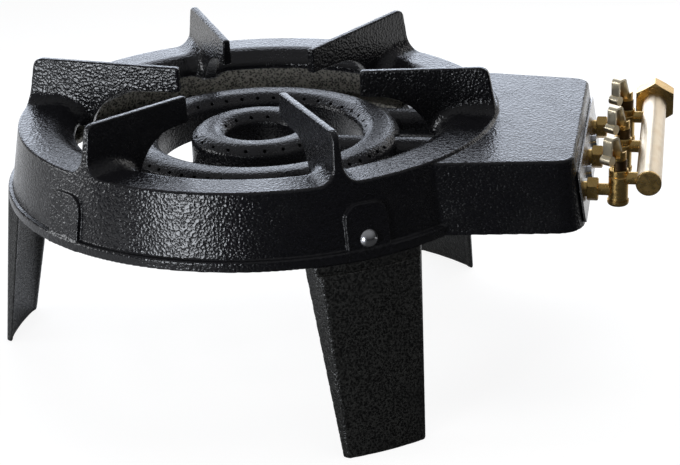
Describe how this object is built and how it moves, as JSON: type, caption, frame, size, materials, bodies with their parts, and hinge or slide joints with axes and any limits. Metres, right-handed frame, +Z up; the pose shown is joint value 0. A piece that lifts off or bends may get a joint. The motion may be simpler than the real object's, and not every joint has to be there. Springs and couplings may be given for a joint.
{
  "type": "gas ring burner",
  "caption": "Low cast-iron gas ring on flared legs: round casting with radial pot rests, concentric ported burner rings and a tap housing with brass lever taps on a gas rail.",
  "frame": {"origin": "on the axis of the round casting, at floor level", "axes": "+Z up, +X towards the tap housing and the gas rail, +Y towards the rail's inlet"},
  "size_m": [0.5745, 0.426, 0.2515],
  "materials": {
    "hammered_black": "black hammered enamel",
    "burner_iron": "satin grey-black",
    "hammered_grey": "charcoal hammered enamel",
    "support_steel": "black paint",
    "bright_steel": "bright rolled sheet",
    "zinc_steel": "zinc plated",
    "dark_brass": "dark, oiled",
    "lever_brass": "bright polished",
    "polished_brass": "polished"
  },
  "bodies": {
    "base": {"ring_casting": "hammered_black", "outer_burner": "burner_iron", "inner_burner": "burner_iron", "burner_strap": "support_steel", "tube_bar": "support_steel", "bar_screws": "zinc_steel", "burner_bolts": "zinc_steel", "leg_front": "hammered_grey", "leg_back": "hammered_grey", "leg_left": "hammered_grey", "leg_bolts": "zinc_steel", "leg_washers": "zinc_steel", "leg_nuts": "zinc_steel", "end_plate": "bright_steel", "end_plate_screws": "zinc_steel", "gas_rail": "polished_brass", "rail_plug": "polished_brass", "inlet_union": "polished_brass", "injector_near": "polished_brass", "injector_mid": "polished_brass", "injector_far": "polished_brass", "injector_nut_near": "polished_brass", "injector_nut_mid": "polished_brass", "injector_nut_far": "polished_brass", "tap_body_near": "polished_brass", "tap_body_mid": "polished_brass", "tap_body_far": "polished_brass", "tap_cap_near": "polished_brass", "tap_cap_mid": "polished_brass", "tap_cap_far": "polished_brass"},
    "tap_near": {"tap_plug_near": "polished_brass", "tap_collar_near": "dark_brass", "tap_lever_near": "lever_brass", "lever_screw_near": "zinc_steel"},
    "tap_mid": {"tap_plug_mid": "polished_brass", "tap_collar_mid": "dark_brass", "tap_lever_mid": "lever_brass", "lever_screw_mid": "zinc_steel"},
    "tap_far": {"tap_plug_far": "polished_brass", "tap_collar_far": "dark_brass", "tap_lever_far": "lever_brass", "lever_screw_far": "zinc_steel"}
  },
  "joints": [
    {"name": "tap_turn_near", "type": "hinge", "parent": "base", "child": "tap_near", "pos_m": [0.30231, -0.073, 0.1945], "axis": [0, 0, 1], "range_deg": [0, 90]},
    {"name": "tap_turn_mid", "type": "hinge", "parent": "base", "child": "tap_mid", "pos_m": [0.30231, 0, 0.1945], "axis": [0, 0, 1], "range_deg": [0, 90]},
    {"name": "tap_turn_far", "type": "hinge", "parent": "base", "child": "tap_far", "pos_m": [0.30231, 0.073, 0.1945], "axis": [0, 0, 1], "range_deg": [0, 90]}
  ]
}
